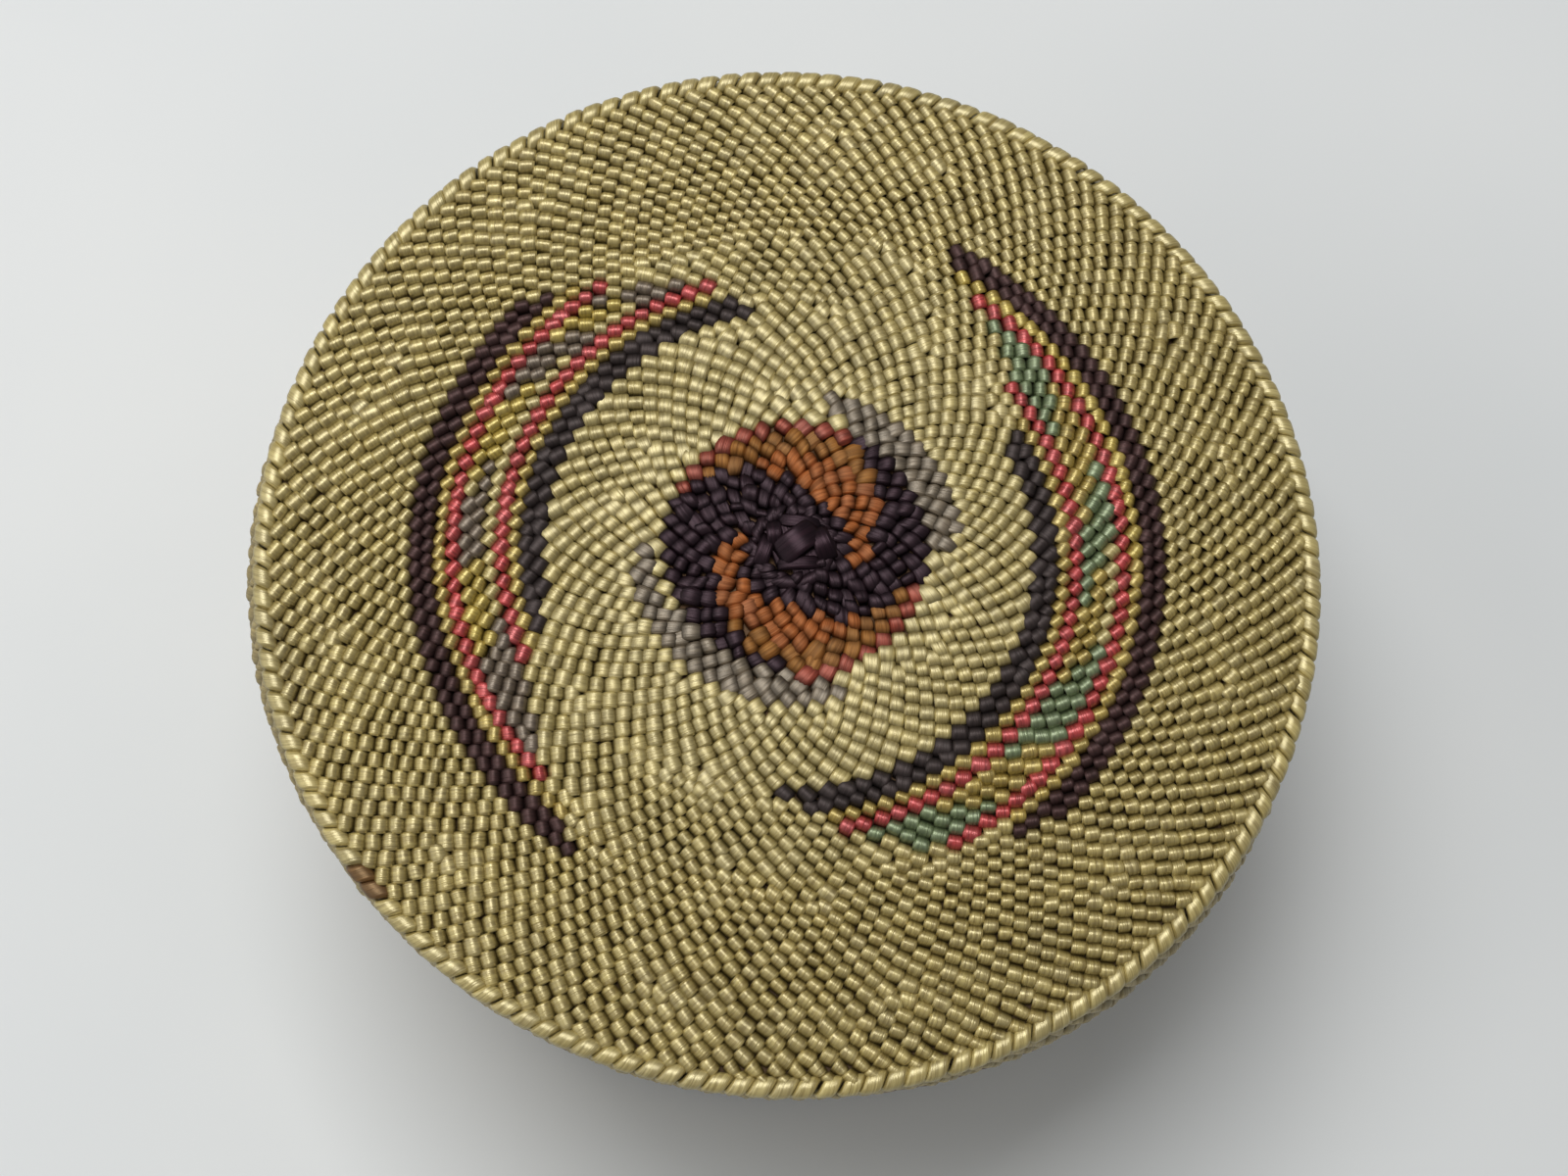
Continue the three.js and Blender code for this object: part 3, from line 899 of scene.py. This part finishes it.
def start_knot():
    """The knot in the lid's middle, and the first short rounds round it."""
    level = LID_TOP - 0.3
    parts = []
    for middle, (half_width, half_length), degrees, height in KNOT_STRIPS:
        turn = math.radians(degrees)
        wide = np.array([math.cos(turn), math.sin(turn)]) * half_width
        long = np.array([-math.sin(turn), math.cos(turn)]) * half_length
        ends = middle + np.array([-long - wide, wide - long, long - wide, long + wide])
        form = Stitch(height, along=15, across=15, strands=6.0, ragged=0.5)
        parts.append(stitches(flat_sheet(level, 1), ends[None], form)[:3])
    piece("lid_knot_strips", together(parts), "knot", "lid", ["lid_start_knot"])
    number, distance, half = KNOT_ROUND
    corners = round_corners(number, 0.3, distance, half, slant=0.5)
    form = Stitch(0.9, along=9, across=9, lift=-0.3, ragged=1.5, shoulder=0.3, flat=0.6)
    part = stitches(lid_sheet, corners, form)[:3]
    piece("lid_grass_round_knot", part, "plum", "lid", ["lid_grass_top"])


start_knot()


# The layers under the grass: warps, back wefts and the basket's own rounds.

UNDERSIDE = FABRIC - BEAD - 0.9  # depth of the back wefts under the grass
LID_MIDDLE = 3.0  # radius where the rounds under the lid begin
LID_INSIDE = 55.6
SKIRT_START = CORNER_END + 1.0
FLOOR_TOP = 3.6
MAT_RADIUS = 19.9
MAT_STRIP = 2.3
WEFT_SIDES = 6
WEFT_POINTS = 96  # along one turn of a back weft
WRAP = Stitch(0.5, along=5, across=4, lift=0.35, reach=1.0, seam=0.5, shoulder=0.1)
WRAP_SPACING = 2.3
# Warps of the lid and of the floor: how many, where between the others, and how far out they begin.
LID_WARPS = ((38, 0.0, 3.5), (38, 0.5, 15.0), (76, 0.25, 30.0))
FLOOR_WARPS = ((76, 0.0, MAT_RADIUS - 1), (76, 0.5, 34.0))
WALL_WARPS = 152
WARP_WIDTH = 1.5
WALL_WARP_WIDTH = 1.4
WARP_THICKNESS = 0.5
WARP_LIFT = -1.1
# The closed layer behind the stitches. On the lid its lift follows the progress.
LAYER_LIFT = -0.55
LID_LAYER = [(FIRST_ROUND - ROUND_RISE, LAYER_LIFT), (FIRST_ROUND, -0.35)]
LAYER_POINTS = 181
CORE_POINTS = 17  # round the section of a hoop
# The dyed rounds of the wall, counted from the foot.
WALL_ROUNDS = {4: "brown", 5: "yellow", 6: "red", 29: "red", 30: "yellow", 31: "brown", 32: "brown"}
WALL_MARGIN = 0.2  # bare at the wall's top and foot
# Rounds on the rim and on the foot: how many strands, where on the section in degrees, and half the
# degrees that each covers.
RIM_ROUNDS = (150, (0, 60, 120, 180), 34)
FOOT_ROUNDS = (96, (-120, -60, 0, 60, 120, 180), 36)
BASE_SPACING = 2.6


def under_lid_sheet(angle, progress, lift):
    """The lid's underside. Angles run clockwise from above, and lift goes inward."""
    return lid_sheet(-angle, progress, -UNDERSIDE - lift)


def inner_wall_sheet(angle, progress, lift):
    """The wall's inner side. Angles run anticlockwise, and lift goes inward."""
    return around(wall_radius(progress) - BEAD - UNDERSIDE - lift, angle, progress)


def inner_floor_sheet(angle, progress, lift):
    """The floor inside the basket. Angles run anticlockwise, and progress is the radius."""
    return around(progress, angle, FLOOR_TOP - 2 * WEFT + lift)


def wound(sheet, start, end):
    """A stiff weft that winds over a sheet from start to end."""
    turns = abs(end - start) / ROUND_RISE
    share = np.linspace(0, 1, int(turns * WEFT_POINTS) + 1)
    path = sheet(share * turns * TURN, start + (end - start) * share, WEFT)
    return tube(path, WEFT, WEFT_SIDES)


def wraps(sheet, start, end):
    """Short strips that cross each round of back wefts, one beside each warp."""
    parts = []
    progress = start + ROUND_RISE / 2
    row = 0
    while progress < end:
        size = np.linalg.norm(sheet(0.0, progress, 0.0)[:2])
        number = max(8, round(TURN * size / WRAP_SPACING))
        corners = round_corners(number, 0.5 * (row % 2), progress, ROUND_RISE * 0.46, slant=0.25)
        parts.append(stitches(sheet, corners, WRAP)[:3])
        progress += ROUND_RISE
        row += 1
    return together(parts)


def back_wefts():
    """The stiff rounds under the lid and inside the basket, with the grass crossing them."""
    wefts = [
        wound(under_lid_sheet, LID_MIDDLE, LID_INSIDE),
        wound(under_lid_sheet, SKIRT_START, LID_END - 2.2),
    ]
    piece("lid_back_strands", together(wefts), "bark_weft", "lid", ["lid_back_wefts"])
    part = wraps(under_lid_sheet, LID_MIDDLE, LID_INSIDE)
    piece("lid_back_wraps", part, "straw", "lid", ["lid_back_wefts"])
    wefts = [
        wound(inner_floor_sheet, MAT_RADIUS, BASE_RADIUS + 0.5),
        wound(inner_wall_sheet, FLOOR_TOP, WALL_TOP),
    ]
    piece("wall_back_strands", together(wefts), "bark_weft", "basket", ["wall_back_wefts"])
    part = wraps(inner_wall_sheet, FLOOR_TOP, WALL_TOP)
    piece("wall_back_wraps", part, "straw", "basket", ["wall_back_wefts"])
    part = wraps(inner_floor_sheet, MAT_RADIUS, BASE_RADIUS)
    piece("floor_wraps", part, "bark", "basket", ["wall_back_wefts"])


def strips(sheet, number, offset, progress, lift=WARP_LIFT, width=WARP_WIDTH):
    """Flat warps that run across the rounds: each a narrow strip with four sides."""
    angles = ((np.arange(number) + offset) * TURN / number)[:, None]
    steps = len(progress)
    middle = sheet(angles, progress[None], lift)
    aside = unit(sheet(angles + 0.001, progress[None], lift) - middle)
    out = unit(sheet(angles, progress[None], lift + 0.1) - middle)
    corners = ((-1, -1), (-1, 1), (1, 1), (1, -1), (-1, -1))
    ring = [middle + aside * x * width / 2 + out * y * WARP_THICKNESS / 2 for x, y in corners]
    points = np.stack(ring, axis=2)
    across = np.array([-0.8, -0.7, 0.7, 0.8, 0.85]) * np.ones((number, steps, 1))
    # The along coordinate runs up to 0.5, so the material's painted dip shade darkens each strip towards
    # its far end.
    along = np.linspace(0, 1, steps)[None, :, None] * np.ones_like(across) * 0.5
    chance = rng.uniform(0, 1, (number, 1, 1)) * np.ones_like(across)
    local = np.stack([across, along, chance], axis=-1)
    return points.reshape(-1, 3), grid_faces(number, steps, 5), local.reshape(-1, 3)


def sheeting(sheet, places, lift):
    """A thin closed layer behind the stitches, where the warps lie edge to edge."""
    angle, progress = np.meshgrid(np.linspace(0, TURN, LAYER_POINTS), places, indexing="ij")
    points = sheet(angle, progress, lift)
    # The along coordinate grows with the progress, so the material's painted dip shade darkens the layer
    # further out.
    local = np.stack([np.sin(angle * 75) * 0.8, progress * 0.02, 0.3 + 0 * angle], axis=-1)
    faces = grid_faces(1, LAYER_POINTS, len(places), flip=True)
    return points.reshape(-1, 3), faces, local.reshape(-1, 3)


def warps():
    """The bark strips between the grass and the back wefts."""
    parts = []
    for number, offset, start in LID_WARPS:
        top = np.linspace(start, LID_INSIDE + 1.5, 14)
        skirt = np.linspace(CORNER_END, LID_END - 0.4, 4)
        parts += [strips(lid_sheet, number, offset, progress) for progress in (top, skirt)]
    progress = np.linspace(0.5, LID_END - 0.2, 80)
    parts.append(sheeting(lid_sheet, progress, looked_up(progress, LID_LAYER)))
    piece("lid_warp_strips", together(parts), "bark", "lid", ["lid_warps"])
    progress = np.linspace(FOOT_TOP - 1.0, RIM_LOW + 0.3, 20)
    parts = [
        sheeting(wall_sheet, progress, LAYER_LIFT),
        strips(wall_sheet, WALL_WARPS, 0.5, progress, width=WALL_WARP_WIDTH),
    ]
    for number, offset, start in FLOOR_WARPS:
        progress = np.linspace(start, FOOT_RADIUS - FOOT_LIP - 2, 8)
        parts.append(strips(inner_floor_sheet, number, offset, progress, lift=-0.5))
    piece("basket_warps", together(parts), "bark", "basket", ["mat_and_warps"])


def wall():
    """The wall's grass: straw with a few dyed rounds near its top and its foot."""
    height = WALL_TOP - WALL_LOW
    count = int(height / ROUND_RISE * ROUND_COUNT)
    index = np.arange(count)
    angle = index / ROUND_COUNT * TURN
    progress = WALL_LOW + WALL_MARGIN + (height - 2 * WALL_MARGIN) * index / count
    half = TURN / ROUND_COUNT / 2
    jitter = rng.normal(0, UNEVEN_PLACE, (4, count))
    corners = cells(
        (angle - half, progress + jitter[0]),
        (angle, progress + ROUND_RISE + jitter[1]),
        (angle, progress - ROUND_RISE + jitter[2]),
        (angle + half, progress + jitter[3]),
    )
    shear = squared(corners, np.full(count, RIM_RADIUS))
    shape = stitches(wall_sheet, corners, SIDE_STITCH, shear=shear)
    turn_number = np.floor(index / ROUND_COUNT).astype(int)
    dyes = np.array([WALL_ROUNDS.get(number, "straw") for number in turn_number])
    for band, letter in enumerate("abcd"):
        inside = (index >= band * count / 4) & (index < (band + 1) * count / 4)
        part = pick(*shape, (dyes == "straw") & inside, SIDE_STITCH)
        piece("wall_grass_" + letter, part, "straw", "basket", ["wall_grass"])
    for dye in sorted(set(WALL_ROUNDS.values())):
        part = pick(*shape, dyes == dye, SIDE_STITCH)
        piece("wall_grass_" + dye, part, dye, "basket", ["wall_grass"])


def hoop_strands(hoop, rounds, form, core_lift):
    """Rounds of slanted strands on a hoop, with a closed core behind them."""
    number, places, half = rounds
    places = np.radians(places)
    strands = closed_rounds(hoop, number, places, math.radians(half), form, BINDING_SLANT)
    return together([strands, sheeting(hoop, np.linspace(0, TURN, CORE_POINTS), core_lift)])


def rims():
    """The rim of the wall and the stout round that the basket stands on."""
    height = (RIM_LOW + RIM_TOP) / 2
    hoop = hoop_sheet(RIM_RADIUS - FABRIC / 2, height, FABRIC / 2 - 0.4, (RIM_TOP - RIM_LOW) / 2 - 0.35)
    part = hoop_strands(hoop, RIM_ROUNDS, Stitch(0.4, 7, 6, lift=-0.02, shoulder=0.12), 0.08)
    piece("rim_strands", part, "dark_bark", "basket", ["rim_binding"])
    hoop = hoop_sheet(BASE_RADIUS + 1.75, FOOT_TOP / 2, 1.3, FOOT_TOP / 2 - 0.5)
    part = hoop_strands(hoop, FOOT_ROUNDS, Stitch(0.5, 8, 7, lift=-0.02, shoulder=0.15), 0.1)
    piece("foot_strands", part, "dark_bark", "basket", ["foot_round"])


def base():
    """The twined rounds under the bottom."""
    places, rise = even_places(MAT_RADIUS, BASE_RADIUS)
    numbers = [round(TURN * place / BASE_SPACING) for place in places]
    form = Stitch(0.45, along=6, across=5, shoulder=0.12)
    part = closed_rounds(base_sheet, numbers, places, rise * 0.52, form, slant=0.8)
    piece("base_strands", part, "bark_weft", "basket", ["base_wefts"])


def mat_cells():
    """Square cells of the plaited mat. The strips cross over and under by turns."""
    half = MAT_STRIP / 2
    reach = int(MAT_RADIUS / MAT_STRIP) + 1
    corners = []
    for column in range(-reach, reach + 1):
        for row in range(-reach, reach + 1):
            x, y = column * MAT_STRIP, row * MAT_STRIP
            left, right, near, far = x - half, x + half, y - half, y + half
            if math.hypot(x, y) > MAT_RADIUS + 0.6:
                continue
            if (column + row) % 2:
                corners.append([(left, near), (right, near), (left, far), (right, far)])
            else:
                corners.append([(right, near), (right, far), (left, near), (left, far)])
    return np.array(corners)


def mat():
    """The plaited mat in the middle of the bottom, seen from both sides."""
    form = Stitch(0.3, along=7, across=6, reach=1.05, shoulder=0.08, ragged=0.5)
    upper = stitches(flat_sheet(FLOOR_TOP - 0.9, 1), mat_cells(), form)[:3]
    lower = stitches(flat_sheet(BASE_LOW + 0.3, -1), mat_cells(), form, flip=False)[:3]
    piece("plaited_mat", together([upper, lower]), "bark", "basket", ["mat_and_warps"])


back_wefts()
warps()
wall()
rims()
base()
mat()


# The table, the light and the camera.

FLOOR_HALF = 2500
FLOOR_DARK = (225, 228, 228)
FLOOR_LIGHT = (231, 233, 232)


def floor():
    """A pale table, seen from above."""
    corners = ((-1, -1, 0), (1, -1, 0), (1, 1, 0), (-1, 1, 0))
    points = np.array(corners) * FLOOR_HALF
    obj = mesh_object("floor", points, np.array([[0, 1, 2, 3]]))
    material = bpy.data.materials.new("table_top")
    material.use_nodes = True
    tree = material.node_tree
    tree.nodes.clear()
    place = node(tree, "TexCoord").outputs["Object"]
    cloud = node(tree, "TexNoise", {"Vector": place, "Scale": 9.0, "Detail": 3.0}).outputs[0]
    share = ranged(tree, cloud, 0.35, 0.65, 0.0, 1.0)
    base = mixed(tree, share, colour(*FLOOR_DARK), colour(*FLOOR_LIGHT))
    shader = node(tree, "BsdfPrincipled", {"Base Color": base, "Roughness": 0.6})
    node(tree, "OutputMaterial", {"Surface": shader.outputs[0]})
    obj.data.materials.append(material)


# Square soft lamps: the place, the size and the power of each, in metres and watts.
LAMPS = {"key": ((-0.19, 0.29, 1.07), 0.6, 7.8), "side": ((-1.0, -0.05, 0.6), 1.2, 3.7)}
LAMP_TARGET = (0, 0, 0.05)
SKY = 0.24
SKY_COLOUR = (0.97, 0.98, 1.0, 1.0)


def light():
    """Two soft lamps and a dim sky."""
    for name, (place, size, power) in LAMPS.items():
        lamp = bpy.data.lights.new(name, "AREA")
        lamp.shape = "SQUARE"
        lamp.size = size
        lamp.energy = power
        obj = placed(name, lamp)
        ahead = Vector(LAMP_TARGET) - Vector(place)
        obj.matrix_world = Matrix.Translation(place) @ ahead.to_track_quat("-Z", "Y").to_matrix().to_4x4()
    world = bpy.data.worlds.new("sky")
    bpy.context.scene.world = world
    world.use_nodes = True
    tree = world.node_tree
    tree.nodes.clear()
    back = node(tree, "Background", {"Color": SKY_COLOUR, "Strength": SKY})
    node(tree, "OutputWorld", {"Surface": back.outputs[0]})


# The camera looks down on the lid. It is turned about its own axis, so that the far side of the
# lid is nearly at the top of the picture. The distance is in metres, the lens in millimetres.
FAR_SIDE = math.radians(80.3)
TILT = math.radians(16.9)
DISTANCE = 0.3
LENS = 61.5
SHIFT_X = -0.0049
SHIFT_Y = -0.0206


def camera():
    """The camera, aimed at the middle of the lid's edge plane."""
    far = Vector((math.cos(FAR_SIDE), math.sin(FAR_SIDE), 0))
    side = Vector((math.sin(FAR_SIDE), -math.cos(FAR_SIDE), 0))
    up = Vector((0, 0, 1))
    ahead = far * math.sin(TILT) - up * math.cos(TILT)
    above = far * math.cos(TILT) + up * math.sin(TILT)
    right = above * math.cos(FAR_SIDE) + side * math.sin(FAR_SIDE)
    top = above * math.sin(FAR_SIDE) - side * math.cos(FAR_SIDE)
    place = up * EDGE_PLANE * MM - ahead * DISTANCE
    data = bpy.data.cameras.new("camera")
    data.lens = LENS
    data.shift_x = SHIFT_X
    data.shift_y = SHIFT_Y
    data.clip_start = 0.01
    data.clip_end = 20
    obj = placed("camera", data)
    axes = Matrix((right, top, -ahead)).transposed().to_4x4()
    obj.matrix_world = Matrix.Translation(place) @ axes
    bpy.context.scene.camera = obj


floor()
light()
camera()
bpy.context.scene.view_settings.view_transform = "Standard"
